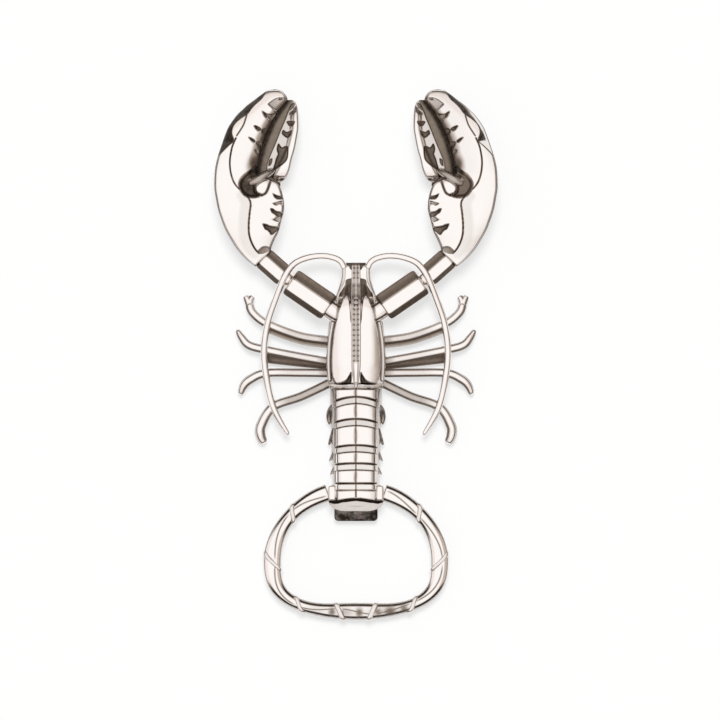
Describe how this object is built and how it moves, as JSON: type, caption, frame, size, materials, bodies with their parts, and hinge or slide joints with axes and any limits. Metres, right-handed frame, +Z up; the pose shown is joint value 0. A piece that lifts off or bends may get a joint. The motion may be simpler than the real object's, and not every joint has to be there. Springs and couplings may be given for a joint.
{
  "type": "bottle opener",
  "caption": "Lobster-shaped bottle opener with a lashed hoop and a cap lip at the tail, bowed antennae, bent legs, and claws held forward.",
  "frame": {"origin": "centre of the bounding box, at the level of the table the part lies on", "axes": "+Y along the length to the claws, +X to the lobster's right side as seen in the picture, +Z up from the table"},
  "size_m": [0.0872, 0.1654, 0.0139],
  "materials": {
    "plated_casting": "polished nickel plate on castings",
    "plated_wire": "polished nickel plate on drawn wire and strap",
    "lip_steel": "dark hardened steel, worn"
  },
  "bodies": {
    "root": {"carapace": "plated_casting", "back_ridge": "plated_casting", "tail_core": "plated_casting", "tail_end": "plated_casting", "cap_lip": "lip_steel", "opener_ring": "plated_casting", "ring_lashings": "plated_wire", "tail_plate_1": "plated_casting", "tail_plate_2": "plated_casting", "tail_plate_3": "plated_casting", "tail_plate_4": "plated_casting", "tail_plate_5": "plated_casting", "shoulder_left": "plated_casting", "upper_arm_left": "plated_casting", "elbow_left": "plated_casting", "forearm_left": "plated_casting", "claw_left": "plated_casting", "thumb_left": "plated_casting", "antenna_left": "plated_wire", "shoulder_right": "plated_casting", "upper_arm_right": "plated_casting", "elbow_right": "plated_casting", "forearm_right": "plated_casting", "claw_right": "plated_casting", "thumb_right": "plated_casting", "antenna_right": "plated_wire", "leg_1_left": "plated_wire", "leg_2_left": "plated_wire", "leg_3_left": "plated_wire", "leg_4_left": "plated_wire", "leg_1_right": "plated_wire", "leg_2_right": "plated_wire", "leg_3_right": "plated_wire", "leg_4_right": "plated_wire"}
  },
  "joints": []
}
